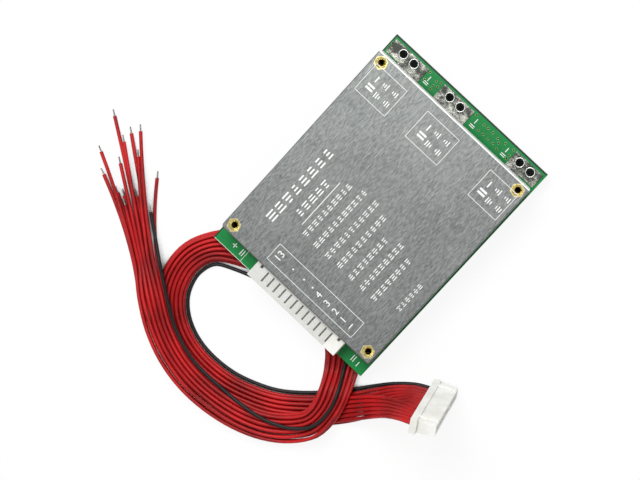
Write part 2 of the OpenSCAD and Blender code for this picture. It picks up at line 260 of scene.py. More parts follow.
# The black wire's offset to the left of the centre line, and the layer it rides in
black_side = [(0, -5.8), (16, -5.8), (17.5, -8.2), (18.6, -9.6), (19, -9), (20, -4.5),
              (21, -0.5), (22.5, 1.6), (24, 1.6), (25, 1.45), (26.5, 1.3), (28, -0.6),
              (29.4, -3.2), (30.6, -5.3)]
black_layer = [(0, 0), (17.6, 0), (18.6, 2), (29.6, 2), (31.2, 1.2)]
wires, wire_r = 14, 0.6
lay, low = 1.45, 0.7  # distance between touching wires, and the lowest wires' height
middle_slot = 6
black_end_up, upper_end_up = 3.2, 2.5
last, second_run = len(route) - 1, 23  # the second run crosses the first from station 23 on
first_run = route[3:17]
lift, extra_lift, lift_reach, lift_fade = 2.72, 1.5, 12.7, 6.3
pitch, plug_t, plug_lean = 2.54, 5, math.radians(12)
plug_side = black_side[0][1]
first_contact = 2.45  # how far along the plug the black wire's contact is
loose_rings = 8
print(len(route), "stations,", wires, "wires")

# %% A wire's place in the bundle at one station
def lookup(x, table):
    """The value at x of a table of pairs, in straight steps between them."""
    if x <= table[0][0]:
        return table[0][1]
    for (a, va), (b, vb) in zip(table, table[1:]):
        if x <= b:
            return va + (vb - va) * (x - a) / (b - a)
    return table[-1][1]


def ease(x):
    """A soft step from 0 to 1."""
    x = min(max(x, 0), 1)
    return x * x * (3 - 2 * x)


def heading(i):
    """The direction of the centre line at a station."""
    return (route[min(i + 1, last)] - route[max(i - 1, 0)]).normalized()


def leftward(i):
    ahead = heading(i)
    return Vector((-ahead.y, ahead.x))


def slot_of(k):
    """Red wires 1 to 7 take the even slots, in the lower layer, and 8 to 13 the odd ones."""
    return 2 * (k - 1) if k < 8 else 2 * (k - 8) + 1


def gap_to_first(q):
    """How far a point lies from the first run's centre line."""
    gaps = []
    for a, b in zip(first_run, first_run[1:]):
        t = min(max((q - a).dot(b - a) / (b - a).length_squared, 0), 1)
        gaps.append((a + (b - a) * t - q).length)
    return min(gaps)


def rise(i, side):
    """How far the second run is lifted where it lies on the first one.

    The lift fades out between 6.4 and 12.7 mm from the first run's centre line. It is higher
    up to station 26.5, and the extra is gone by station 29.
    """
    if i < second_run:
        return 0
    gap = gap_to_first(route[i] + leftward(i) * side)
    extra = extra_lift * ease((29 - i) / 2.5)
    return (lift + extra) * ease((lift_reach - gap) / lift_fade)


def place_in_bundle(k, i):
    """Offset to the left and height over the floor. The bundle tilts with its own lift."""
    gap = lookup(i, spread)
    layer = math.sqrt(lay * lay - gap * gap)
    ride = lookup(i, black_layer)
    if k == 0:
        side, up = lookup(i, black_side), layer * min(ride, 1) + lay * max(0, ride - 1)
    else:
        side, up = (slot_of(k) - middle_slot) * gap, slot_of(k) % 2 * layer
    near = 0.7  # the slope is taken between two points this far to each side
    tilt = math.atan((rise(i, side + near) - rise(i, side - near)) / (2 * near))
    return side - up * math.sin(tilt), rise(i, side) + low + up * math.cos(tilt)


print("black wire half way:", [round(v, 2) for v in place_in_bundle(0, 18)])

# %% The whole path of one wire
def bundle_point(k, i):
    """The wire's point at a station: upright row at the plug, flat bundle from station 6 on."""
    side, up = place_in_bundle(k, i)
    x = min(max((i - 0.2) / 5.2, 0), 1)
    at_plug = (1 - x) ** 3 * (1 + 3 * x)
    row_side = plug_side + pitch * k * math.sin(plug_lean)
    row_up = (first_contact + pitch * k) * math.cos(plug_lean) + plug_t / 2 * math.sin(plug_lean)
    q = route[i] + leftward(i) * (side * (1 - at_plug) + row_side * at_plug)
    return Vector((q.x, q.y, up * (1 - at_plug) + row_up * at_plug))


def wire_path(k):
    """Ring centres from the plug to the end of the insulation, in metres."""
    path = [bundle_point(k, i) for i in range(last + 1)]
    start = path[-1]
    end_up = black_end_up if k == 0 else upper_end_up if slot_of(k) % 2 else low
    end = Vector((*loose_end[0 if k == 0 else slot_of(k) + 1], end_up))
    reach = 0.45 * (end.xy - start.xy).length
    bend = start.xy + heading(last) * reach
    bend = Vector((bend.x, bend.y, 0.35 * start.z + 0.65 * end.z))
    for j in range(1, loose_rings + 1):
        t = j / loose_rings
        path.append((1 - t) ** 2 * start + 2 * t * (1 - t) * bend + t * t * end)
    return [p * MM for p in path]


def smooth(points, steps=4):
    """A line through all the points without corners (Catmull and Rom's curve).

    Such a curve swings past its points where the slope changes. The height is held between
    the heights of the two points beside it, so that no wire dips into the floor.
    """
    ends = [2 * points[0] - points[1], *points, 2 * points[-1] - points[-2]]
    line = []
    for a, b, c, d in zip(ends, ends[1:], ends[2:], ends[3:]):
        for s in range(steps):
            t = s / steps
            point = 0.5 * (2 * b + (c - a) * t + (2 * a - 5 * b + 4 * c - d) * t * t
                           + (3 * b - a - 3 * c + d) * t ** 3)
            point.z = min(max(point.z, min(b.z, c.z)), max(b.z, c.z))
            line.append(point)
    return line + [points[-1]]


paths = [smooth(wire_path(k)) for k in range(wires)]
lengths = [sum((b - a).length for a, b in zip(p, p[1:])) for p in paths]
print("wire lengths in mm:", [round(v / MM) for v in lengths])

# %% [markdown]
# ## Geometry Nodes in a few helpers
# A Geometry Nodes tree is a small program on geometry. `Tree` builds one with named inputs;
# `run` puts it on a mesh as a modifier, sets its inputs by their identifiers before the first
# evaluation, and turns the result into a plain mesh without the modifier.

# %% Building and running a geometry tree
class Tree:
    """A Geometry Nodes tree with inputs given as name=(socket type, default)."""

    def __init__(self, name, **inputs):
        self.group = bpy.data.node_groups.new(name, "GeometryNodeTree")
        face = self.group.interface
        face.new_socket("Geometry", in_out="INPUT", socket_type="NodeSocketGeometry")
        self.ids = {}
        for label, (kind, value) in inputs.items():
            made = face.new_socket(label, in_out="INPUT", socket_type="NodeSocket" + kind)
            if value is not None:
                made.default_value = value
            self.ids[label] = made.identifier
        face.new_socket("Geometry", in_out="OUTPUT", socket_type="NodeSocketGeometry")
        self.start = self.group.nodes.new("NodeGroupInput")
        self.end = self.group.nodes.new("NodeGroupOutput")

    def node(self, kind, sockets=None, **settings):
        """Adds a node. A node that is given as a socket's value stands for its first output."""
        made = self.group.nodes.new(kind)
        for name, value in settings.items():
            setattr(made, name, value)
        for key, value in (sockets or {}).items():
            if isinstance(value, bpy.types.Node):
                value = value.outputs[0]
            if isinstance(value, bpy.types.NodeSocket):
                self.group.links.new(value, made.inputs[key])
            else:
                made.inputs[key].default_value = value
        return made

    def input(self, label):
        return self.start.outputs[label]

    def finish(self, geometry, material):
        """Every tree ends in plain geometry with one material."""
        real = self.node("GeometryNodeRealizeInstances", {0: geometry})
        done = self.node("GeometryNodeSetMaterial", {"Geometry": real, "Material": material})
        self.group.links.new(done.outputs[0], self.end.inputs[0])

    def run(self, name, mesh, **values):
        """The tree's result for this mesh, as a new object at the world origin."""
        made = bpy.data.objects.new(name, mesh)
        bpy.context.scene.collection.objects.link(made)
        modifier = made.modifiers.new("tree", "NODES")
        modifier.node_group = self.group
        for label, value in values.items():
            modifier[self.ids[label]] = value
        made.update_tag()
        graph = bpy.context.evaluated_depsgraph_get()
        plain = bpy.data.meshes.new_from_object(made.evaluated_get(graph), depsgraph=graph)
        made.modifiers.remove(modifier)
        made.data = plain
        plain.name = name
        return made


def line_mesh(name, points):
    """A mesh of points joined by edges, one after the other."""
    mesh = bpy.data.meshes.new(name)
    mesh.from_pydata(points, [(i, i + 1) for i in range(len(points) - 1)], [])
    return mesh


def triangles(piece):
    """How many triangles a piece has."""
    piece.data.calc_loop_triangles()
    return len(piece.data.loop_triangles)


print("tree builder ready")

# %% [markdown]
# ## Wire insulation
# Silicone and PVC wire is not a flat colour: the skin shows faint streaks along the wire, dark
# ones that are partly from the extruder and partly painted shade, pale blotches that are partly
# dust and partly a painted highlight, and a soft sheen. The tube stores how far each ring is
# along the wire, and the finish stretches its noise over that attribute.

# %% Red and black insulation
def insulation(name, deep_and_shade, main, pale, sheen):
    f = Finish(name, IOR=1.38)
    along = f.attribute("along")
    around = f.attribute("around")
    where = f.node("ShaderNodeCombineXYZ", {0: along * 60, 1: around * 5.0, 2: 0.0}).outputs[0]
    streak_and_shade = Sig(f, f.node("ShaderNodeTexNoise", {"Vector": where, "Scale": 1.0,
                           "Detail": 2.0}).outputs[0])
    dust_and_highlight = f.noise(1.1 * MM, 4.0)
    cloud = f.noise(14 * MM, 2.0)
    # Painted shade and highlight: the dark streaks are partly painted shade along the wire, and the
    # pale blotches are partly a painted highlight.
    base = f.blend(f.ramp(streak_and_shade * 0.5 + cloud * 0.5, 0.35, 0.65), deep_and_shade, main)
    f.set("Base Color", f.blend(f.ramp(dust_and_highlight, 0.56, 0.8, 0, 0.3), base, pale))
    f.set("Roughness", sheen + dust_and_highlight * 0.16 + streak_and_shade * 0.08)
    f.bump(f.noise(0.5 * MM, 3.0) * 0.5 + streak_and_shade, 0.03 * MM, 0.5)
    return f.material


red_wire = insulation("red_wire", (128, 6, 10), (194, 22, 25), (214, 76, 68), 0.38)
black_wire = insulation("black_wire", (10, 8, 8), (26, 22, 22), (62, 54, 52), 0.38)
print("insulation finishes:", red_wire.name, black_wire.name)

# %% The tube along a line
tube = Tree("wire_tube", Radius=("Float", wire_r * MM), Sides=("Int", 12),
            Finish=("Material", None))
curve = tube.node("GeometryNodeMeshToCurve", {0: tube.start.outputs[0]})
along = tube.node("GeometryNodeSplineParameter")
curve = tube.node("GeometryNodeStoreNamedAttribute", {"Geometry": curve, "Name": "along",
                  "Value": along.outputs["Length"]}, data_type="FLOAT", domain="POINT")
circle = tube.node("GeometryNodeCurvePrimitiveCircle", {"Resolution": tube.input("Sides"),
                   "Radius": tube.input("Radius")})
turned = tube.node("GeometryNodeSplineParameter")
circle = tube.node("GeometryNodeStoreNamedAttribute", {"Geometry": circle, "Name": "around",
                   "Value": turned.outputs["Factor"]}, data_type="FLOAT", domain="POINT")
skin = tube.node("GeometryNodeCurveToMesh", {"Curve": curve, "Profile Curve": circle,
                 "Fill Caps": True})
skin = tube.node("GeometryNodeSetShadeSmooth", {"Geometry": skin, "Shade Smooth": True})
tube.finish(skin, tube.input("Finish"))
print("wire tree with", len(tube.group.nodes), "nodes")

# %% [markdown]
# ## Metals
# Tin and solder are pale metals that differ in their surface: plating is even with fine
# rolling lines, solder freezes in blotches with dull and bright grains and is darker along
# the row of holes, where it was heated longest. Brass on the standoffs is turned, so fine
# rings cross it, and it is a little stained.

# %% Tin, solder and brass
def tin(name, dark, light):
    f = Finish(name, Metallic=1.0)
    cloud, fine = f.noise(1.4 * MM), f.noise(0.16 * MM, 2.0, stretch=(1, 6, 1))
    f.set("Base Color", f.blend(cloud, dark, light))
    f.set("Roughness", 0.24 + fine * 0.2)
    f.bump(fine, 0.02 * MM, 0.5)
    return f.material


def solder():
    f = Finish("solder", Metallic=1.0)
    blotch = f.noise(2.2 * MM, 5.0, 0.66)
    grain = f.noise(0.4 * MM, 3.0)
    heated = f.ramp((f.axis("Y") - hole_row * MM).abs(), 0.0, 2.8 * MM, 0.12, 0.0)
    dark = f.ramp(blotch * 0.7 + grain * 0.3 + heated, 0.38, 0.64)
    f.set("Base Color", f.blend(dark, (182, 183, 174), (78, 80, 76)))
    f.set("Roughness", 0.3 + dark * 0.25 + grain * 0.12)
    f.bump(blotch + grain * 0.45, 0.2 * MM, 0.6)
    return f.material


def brass():
    f = Finish("brass", Metallic=1.0)
    turned = f.noise(0.12 * MM, 2.0, stretch=(0.2, 0.2, 5))
    stain = f.noise(1.8 * MM, 3.0)
    f.set("Base Color", f.blend(f.ramp(stain, 0.35, 0.7), (248, 238, 186), (224, 210, 148)))
    f.set("Roughness", 0.2 + turned * 0.14 + stain * 0.1)
    f.bump(turned, 0.01 * MM, 0.4)
    return f.material


tin_plate = tin("tin_plating", (188, 189, 190), (232, 232, 228))
strand_tin = tin("dipped_strands", (118, 119, 116), (172, 172, 166))
solder_metal, brass_metal = solder(), brass()
print("metals:", tin_plate.name, strand_tin.name, solder_metal.name, brass_metal.name)

# %% [markdown]
# ## Fourteen wires and their strands
# Each wire is its own cord with its own length. The strands at its end are a few thin helices
# round the wire's axis, a natural job for instances: one spiral curve, turned round the axis
# once for each strand, then given thickness.

# %% The twisted strands
strand_count, tucked_in = 6, 0.1 * MM
strands = Tree("twisted_strands", Count=("Int", strand_count), Radius=("Float", 0.19 * MM),
               Length=("Float", 2.3 * MM), Thickness=("Float", 0.12 * MM),
               Finish=("Material", None))
spiral = strands.node("GeometryNodeCurveSpiral", {"Resolution": 14, "Rotations": 0.45,
                      "Start Radius": strands.input("Radius"), "End Radius": 0.13 * MM,
                      "Height": strands.input("Length")})
spots = strands.node("GeometryNodePoints", {"Count": strands.input("Count")})
index = strands.node("GeometryNodeInputIndex")
angle = strands.node("ShaderNodeMath", {0: index, 1: math.tau / strand_count}, operation="MULTIPLY")
turn_by = strands.node("ShaderNodeCombineXYZ", {2: angle})
laid = strands.node("GeometryNodeInstanceOnPoints", {"Points": spots, "Instance": spiral,
                    "Rotation": turn_by})
laid = strands.node("GeometryNodeRealizeInstances", {0: laid})
section = strands.node("GeometryNodeCurvePrimitiveCircle", {"Resolution": 6,
                       "Radius": strands.input("Thickness")})
metal = strands.node("GeometryNodeCurveToMesh", {"Curve": laid, "Profile Curve": section,
                     "Fill Caps": True})
metal = strands.node("GeometryNodeSetShadeSmooth", {"Geometry": metal, "Shade Smooth": True})
strands.finish(metal, strands.input("Finish"))
print("strand tree with", len(strands.group.nodes), "nodes")

# %% Wires and strands
cad_wires = ["wire_black"] + [f"wire_red_{k}" for k in range(1, wires)]
for k, path in enumerate(paths):
    wire = tube.run(f"insulation_{k}", line_mesh("line", path),
                    Finish=red_wire if k else black_wire)
    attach(wire, "root")
    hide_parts(cad_wires[k])

    tip = strands.run(f"strands_{k}", line_mesh("dot", [Vector()]), Finish=strand_tin)
    ahead = (path[-1] - path[-2]).normalized()
    tip.data.transform(Matrix.Translation(path[-1] - ahead * tucked_in)
                       @ ahead.to_track_quat("Z", "Y").to_matrix().to_4x4())
    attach(tip, "root")
    if k == 0:
        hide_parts("wire_ends")

    carried = [tip] + ([nodes["plug_housing"], nodes["plug_contacts"]] if k == 0 else [])
print("wires:", wires, "with", triangles(wire), "triangles each")

# %% [markdown]
# ## Circuit board
# Solder mask is a green lacquer over copper, so tracks show through as lighter green with a
# faint step. A narrow band along the far and left edges is painted darker, a painted shadow.
# The cut sides are bare glass and resin, dull and dark; their dark colour is partly their own
# and partly painted shade on the side walls. Which face is which is read from the surface
# direction.

# %% Green solder mask and its cut sides
def solder_mask():
    f = Finish("solder_mask", IOR=1.36, Coat_Roughness=0.12)
    facing = f.node("ShaderNodeSeparateXYZ",
                    {0: f.node("ShaderNodeNewGeometry").outputs["Normal"]})
    flat = f.ramp(Sig(f, facing.outputs[2]).abs(), 0.4, 0.8)
    tracks = f.node("ShaderNodeTexBrick", {"Vector": f.place(), "Scale": 1.0,
                    "Mortar Size": 0.12 * MM, "Mortar Smooth": 0.4, "Brick Width": 9 * MM,
                    "Row Height": 2.1 * MM}, offset=0.37, squash=1.6)
    copper = 1 - Sig(f, tracks.outputs["Fac"])
    cloud = f.noise(9 * MM)
    speck = f.noise(0.3 * MM, 2.0)
    green = f.blend(copper * 0.35 + cloud * 0.5, (0, 100, 44), (4, 140, 66))
    green = f.blend(f.ramp(speck, 0.6, 0.75, 0, 0.25), green, (34, 152, 84))
    # Painted shadow: the last half millimetre at the far (+Y) and left (-X) edges is painted dark
    # green.
    band = 0.5 * MM
    far = f.ramp(f.axis("Y"), board_hi.y - band, board_hi.y - 0.7 * band)
    left = f.ramp(0 - f.axis("X"), board_hi.x - band, board_hi.x - 0.7 * band)
    green = f.blend(far.larger(left), green, (12, 44, 30))
    fibre = f.noise(0.35 * MM, 3.0, stretch=(0.25, 0.25, 3))
    # The cut sides are painted dark: partly the bare board's own colour, partly painted shade on
    # the side walls.
    cut = f.blend(fibre, (34, 46, 38), (66, 80, 66))
    f.set("Base Color", f.blend(flat, cut, green))
    f.set("Roughness", 0.62 - flat * 0.3 + speck * 0.1)
    f.set("Coat Weight", flat * 0.15)
    f.bump(copper * flat + speck * 0.15 + fibre * (1 - flat), 0.04 * MM, 0.5)
    return f.material


mask = solder_mask()
print("board finish:", mask.name)

# %% [markdown]
# ## Brushed aluminium
# Brushing leaves thousands of hairlines in one direction, here along Y. Noise stretched
# six times that way makes them, in colour, roughness and bump at once. A few longer scratches
# run the same way, and a near-white band along the far edge is a painted highlight.

# %% Brushed aluminium plate
def brushed():
    f = Finish("brushed_aluminium", Metallic=1.0)
    hair = f.noise(0.24 * MM, 4.0, 0.7, stretch=(1, 0.16, 1))
    cloud = f.noise(15 * MM, 2.0)
    scratch = f.ramp(f.noise(3 * MM, 2.0, 0.5, stretch=(9, 0.35, 1)), 0.68, 0.74)
    tone = hair * 0.88 + cloud * 0.12
    base = f.blend(f.ramp(tone, 0.32, 0.68), (104, 107, 106), (156, 159, 157))
    base = f.blend(scratch * 0.3, base, (226, 226, 224))
    # Painted highlight: a near-white band along the far edge of the plate.
    edge = f.ramp(f.axis("Y"), plate_hi.y - 0.8 * MM, plate_hi.y - 0.5 * MM)
    f.set("Base Color", f.blend(edge, base, (250, 250, 250)))
    f.set("Roughness", 0.34 + hair * 0.16)
    f.bump(hair, 0.01 * MM, 0.4)
    return f.material


aluminium = brushed()
print("plate finish:", aluminium.name)

# %% [markdown]
# ## Plastics, pad and ceramic
# Nylon is milky and lets a little light in. The cases of the switches are dull moulded epoxy
# with a fine grain, the thermal sheet is soft pale silicone, and the capacitors are matt
# tan ceramic. One helper makes them all from a cloudy and a fine noise, so that none of them
# is one plain colour.

# %% Nylon, epoxy, silicone and ceramic
def moulded(name, dark, light, size, rough, depth, thin=None, **constants):
    """A moulding. `thin` is a half width about X = 0 where the wall is thin; there the colour is
    painted grey, a painted shade for the dark inside seen through the wall.
    """
    f = Finish(name, **constants)
    cloud, grain = f.noise(size), f.noise(0.18 * MM, 3.0)
    base = f.blend(f.ramp(cloud * 0.7 + grain * 0.3, 0.35, 0.65), dark, light)
    if thin:
        # Painted shade: grey over the thin middle of the header's wall, for the dark inside that
        # shows through it.
        wall = f.ramp(f.axis("X").abs(), thin - 0.2 * MM, thin + 0.2 * MM, 0.5, 0.0)
        base = f.blend(wall, base, (176, 178, 174))
    f.set("Base Color", base)
    f.set("Roughness", rough + grain * 0.14)
    f.bump(grain + cloud * 0.4, depth, 0.6)
    return f.material


# The header's middle, within 17.3 mm of X = 0, gets the painted grey shade.
nylon = moulded("nylon", (224, 224, 216), (242, 242, 238), 6 * MM, 0.34, 0.03 * MM, 17.3 * MM,
                Subsurface_Weight=0.25, Subsurface_Radius=(1.2 * MM, 1.2 * MM, 1.0 * MM),
                Subsurface_Scale=1.0)
epoxy = moulded("black_epoxy", (30, 30, 31), (46, 46, 47), 3 * MM, 0.5, 0.04 * MM)
silicone = moulded("silicone_pad", (116, 150, 178), (148, 178, 200), 4 * MM, 0.6, 0.06 * MM)
ceramic = moulded("tan_ceramic", (150, 116, 80), (184, 148, 108), 1 * MM, 0.5, 0.03 * MM)
print("plastics:", nylon.name, epoxy.name, silicone.name, ceramic.name)

# %% Finishes for the CAD nodes
finishes = {
    mask: ["circuit_board"],
    aluminium: ["heat_plate"],
    brass_metal: ["standoffs"],
    solder_metal: ["standoff_solder", "charge_pad", "discharge_pad", "battery_pad",
                   "header_solder", "power_traces"],
    nylon: ["header_shell", "plug_housing"],
    tin_plate: ["header_pins", "mosfet_tabs", "mosfet_leads", "shunt_ends", "chip_leads",
                "resistor_ends", "capacitor_ends", "plug_contacts"],
    epoxy: ["discharge_mosfets", "charge_mosfets", "current_shunts", "protection_chips",
            "balance_resistors", "balance_transistors"],
    silicone: ["thermal_pad"],
    ceramic: ["filter_capacitors"],
}
for finish, names in finishes.items():
    for name in names:
        for place in nodes[name].material_slots:
            place.material = finish
print(sum(map(len, finishes.values())), "CAD nodes have their finish")

# %% [markdown]
# ## Print on plate and board
# Screen print is a film of white ink some hundredths of a millimetre thick. Lines of small
# print become rows of plain bars, made by a tree that scatters bars of random width with a
# fixed seed, and the numbers of the contacts are plain digits. The ink is a little worn.

# %% White ink
def ink():
    f = Finish("white_ink")
    wear, speck = f.noise(1.2 * MM, 4.0), f.noise(0.2 * MM, 2.0)
    f.set("Base Color", f.blend(f.ramp(wear * 0.6 + speck * 0.4, 0.5, 0.75),
                                (240, 241, 238), (206, 208, 206)))
    f.set("Roughness", 0.5 + speck * 0.2)
    f.bump(speck, 0.01 * MM, 0.5)
    return f.material


white_ink = ink()
ink_t = 0.03 * MM
on_plate, on_board = plate_hi.z - 0.005 * MM, board_hi.z - 0.005 * MM
print("ink:", white_ink.name)

# %% A row of bars that stands for a line of small print
row = Tree("print_row", Length=("Float", 20 * MM), Glyph=("Float", 2 * MM),
           Seed=("Int", 0), Finish=("Material", None))
step = row.node("ShaderNodeMath", {0: row.input("Glyph"), 1: 1.12}, operation="MULTIPLY")
count = row.node("ShaderNodeMath", {0: row.input("Length"), 1: step}, operation="DIVIDE")
across = row.node("ShaderNodeCombineXYZ", {0: step})
columns = row.node("GeometryNodeMeshLine", {"Count": count, "Offset": across})
apart = row.node("ShaderNodeMath", {0: row.input("Glyph"), 1: 0.36}, operation="MULTIPLY")
upward = row.node("ShaderNodeCombineXYZ", {1: apart})
three_high = row.node("GeometryNodeMeshLine", {"Count": 3, "Offset": upward})
grid = row.node("GeometryNodeInstanceOnPoints", {"Points": columns, "Instance": three_high})
grid = row.node("GeometryNodeRealizeInstances", {0: grid})
wide = row.node("FunctionNodeRandomValue", {2: 0.35, 3: 0.95, "Seed": row.input("Seed")},
                data_type="FLOAT")
wide = row.node("ShaderNodeMath", {0: wide.outputs[1], 1: row.input("Glyph")},
                operation="MULTIPLY")
thin = row.node("ShaderNodeMath", {0: row.input("Glyph"), 1: 0.15}, operation="MULTIPLY")
size = row.node("ShaderNodeCombineXYZ", {0: wide, 1: thin, 2: ink_t})
bar = row.node("GeometryNodeMeshCube", {"Size": (1, 1, 1)})
bars = row.node("GeometryNodeInstanceOnPoints", {"Points": grid, "Instance": bar,
                "Scale": size})
row.finish(bars, row.input("Finish"))
print("print tree with", len(row.group.nodes), "nodes")

# %% Joining small meshes into one piece, and the shapes of the print
font_size_per_height = 1.38


def joined(name, parts, finish):
    """One object from several meshes that are already in place."""
    bm = bmesh.new()
    for mesh in parts:
        bm.from_mesh(mesh)
    mesh = bpy.data.meshes.new(name)
    bm.to_mesh(mesh)
    bm.free()
    mesh.materials.clear()
    mesh.materials.append(finish)
    made = bpy.data.objects.new(name, mesh)
    bpy.context.scene.collection.objects.link(made)
    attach(made, "root")
    return made


def print_row(x, y, length, glyph, seed):
    """A row that starts at (x, y) in millimetres, runs along +Y and has its top toward -X."""
    made = row.run("row", line_mesh("dot", [Vector()]), Length=length * MM,
                   Glyph=glyph * MM, Seed=seed, Finish=white_ink)
    made.data.transform(Matrix.Translation((x * MM, (y + glyph / 2) * MM, on_plate + ink_t / 2))
                        @ Matrix.Rotation(math.pi / 2, 4, "Z"))
    mesh = made.data
    bpy.data.objects.remove(made)
    return mesh


def strip(a, b, width, height=on_plate):
    """A straight inked line from a to b, in millimetres."""
    a, b = Vector(a) * MM, Vector(b) * MM
    side = (b - a).normalized().orthogonal() * width * MM / 2
    flat = [a - side, b - side, b + side, a + side]
    top = [Vector((*p, height + ink_t)) for p in flat]
    bottom = [Vector((*p, height)) for p in flat]
    mesh = bpy.data.meshes.new("strip")
    mesh.from_pydata(top + bottom, [], [(0, 1, 2, 3), (7, 6, 5, 4), (0, 4, 5, 1),
                                        (1, 5, 6, 2), (2, 6, 7, 3), (3, 7, 4, 0)])
    bm = bmesh.new()
    bm.from_mesh(mesh)
    bmesh.ops.recalc_face_normals(bm, faces=bm.faces)
    bm.to_mesh(mesh)
    bm.free()
    return mesh


def number(text, x, y, tall):
    """Plain digits, `tall` millimetres high and centred at (x, y), with their top toward -X."""
    shape = bpy.data.curves.new("digits", "FONT")
    shape.body, shape.size = text, tall * font_size_per_height * MM
    shape.align_x, shape.align_y = "CENTER", "CENTER"
    shape.extrude, shape.resolution_u = ink_t / 2, 4
    made = bpy.data.objects.new("digits", shape)
    bpy.context.scene.collection.objects.link(made)
    graph = bpy.context.evaluated_depsgraph_get()
    mesh = bpy.data.meshes.new_from_object(made.evaluated_get(graph))
    bpy.data.objects.remove(made)
    mesh.transform(Matrix.Translation((x * MM, y * MM, on_plate + ink_t / 2))
                   @ Matrix.Rotation(math.pi / 2, 4, "Z"))
    return mesh


print("print helpers ready")

# %% The plate's print
# Where each row starts (x, y), its length, and the height of its bars, in millimetres
rows = [(-21, -25.9, 34, 3.4), (-15.4, -18.7, 15.2, 2.7), (-9.7, -21.9, 23.6, 2),
        (-4.8, -22.2, 26, 2), (0.2, -22.2, 25, 2), (5, -21.8, 23.4, 2), (10.2, -22.1, 19.6, 2),
        (15, -22.1, 22.4, 2), (20, -21.9, 20, 2), (28, -18.7, 12, 1.7)]
parts = [print_row(x, y, length, glyph, seed) for seed, (x, y, length, glyph) in enumerate(rows)]
parts.append(strip((-13.3, -19.7), (-13.3, -1.6), 0.25))


def frame_lines(x0, y0, x1, y1):
    """The four thin lines of a printed box."""
    ends = [(x0, y0), (x1, y0), (x1, y1), (x0, y1)]
    return [strip(a, b, 0.16) for a, b in zip(ends, ends[1:] + ends[:1])]


parts += frame_lines(-14.3, -35.4, 22.3, -29.1)
for text, x, y, tall in (("13", -11.7, -32.1, 2.5), ("4", 5.8, -32.5, 2.4), ("3", 9.5, -32.6, 2.4),
                         ("2", 13.2, -32.7, 2.4), ("1", 16.8, -32.9, 2.4)):
    parts.append(number(text, x, y, tall))
parts.append(strip((19.9, -33.8), (19.9, -31.8), 0.35))
for x in (-5.8, -1, 2.7):
    parts.append(strip((x - 0.25, -32.2), (x + 0.25, -32.2), 0.5))
for x0, x1 in ((-30, -17.1), (-8.1, 5.4), (18.8, 30.5)):
    parts += frame_lines(x0, 23.4, x1, 34)
    middle = (x0 + x1) / 2
    parts.append(strip((middle - 4.4, 26.4), (middle - 1.6, 26.4), 0.7))
    parts.append(strip((middle - 4.4, 27.6), (middle - 1.6, 27.6), 0.7))
    parts.append(strip((middle - 3, 29.2), (middle - 3, 31.4), 0.45))
    for dx, dy in ((1.2, 26.6), (5, 26.8), (1.2, 30.8), (5, 30.9)):
        parts.append(print_row(middle + dx, dy - 1.3, 2.6, 2.2, round(dx * 7 + dy)))
plate_print = joined("plate_print", parts, white_ink)
print("plate print:", len(parts), "shapes")

# %% [markdown]
# ## Marks and vias on the board
# The strips of board beside the plate carry thin printed signs and rows of vias, which are
# plated holes that join the copper layers. Every via is the same small ring round a disc, so
# a tree puts one on each point of a list. Its finish is bright round the ring, and the disc in
# the middle is painted dark, a painted shade for the inside of the hole.

# %% The finish of a via
def via_copper():
    f = Finish("via_copper", Metallic=0.3)
    hole, stain = f.attribute("hole"), f.noise(0.25 * MM)
    rim = f.blend(stain, (128, 168, 96), (180, 202, 142))
    # Painted shade: the disc in the middle of each via is painted nearly black-green for the inside
    # of its hole.
    f.set("Base Color", f.blend(hole, rim, (10, 30, 18)))
    f.set("Roughness", 0.35 + hole * 0.4 + stain * 0.1)
    f.bump(stain, 0.01 * MM, 0.5)
    return f.material


via_metal = via_copper()
print("via finish:", via_metal.name)

# %% One ring on each point
vias = Tree("vias", Outer=("Float", 0.42 * MM), Inner=("Float", 0.29 * MM),
            Height=("Float", 0.04 * MM), Finish=("Material", None))
rim_curve = vias.node("GeometryNodeCurvePrimitiveCircle", {"Resolution": 20,
                      "Radius": vias.node("ShaderNodeMath", {0: vias.input("Outer"),
                      1: vias.input("Inner")}, operation="ADD")})
half_way = vias.node("GeometryNodeTransform", {"Geometry": rim_curve,
                     "Scale": (0.5, 0.5, 1.0)})
rim_section = vias.node("GeometryNodeCurvePrimitiveCircle", {"Resolution": 8,
                        "Radius": vias.node("ShaderNodeMath", {0: vias.input("Outer"),
                        1: vias.input("Inner")}, operation="SUBTRACT")})
rim_section = vias.node("GeometryNodeTransform", {"Geometry": rim_section,
                        "Scale": (0.5, 0.22, 1.0)})
ring = vias.node("GeometryNodeCurveToMesh", {"Curve": half_way, "Profile Curve": rim_section})
ring = vias.node("GeometryNodeStoreNamedAttribute", {"Geometry": ring, "Name": "hole",
                 "Value": 0.0}, data_type="FLOAT", domain="POINT")
disc = vias.node("GeometryNodeMeshCylinder", {"Vertices": 20, "Radius": vias.input("Inner"),
                 "Depth": vias.input("Height")})
# The disc gets hole = 1, which the via finish paints dark as painted shade.
disc = vias.node("GeometryNodeStoreNamedAttribute", {"Geometry": disc, "Name": "hole",
                 "Value": 1.0}, data_type="FLOAT", domain="POINT")
both = vias.node("GeometryNodeJoinGeometry")
vias.group.links.new(ring.outputs[0], both.inputs[0])
vias.group.links.new(disc.outputs[0], both.inputs[0])
placed = vias.node("GeometryNodeInstanceOnPoints", {"Points": vias.start.outputs[0],
                   "Instance": both})
vias.finish(placed, vias.input("Finish"))
print("via tree with", len(vias.group.nodes), "nodes")

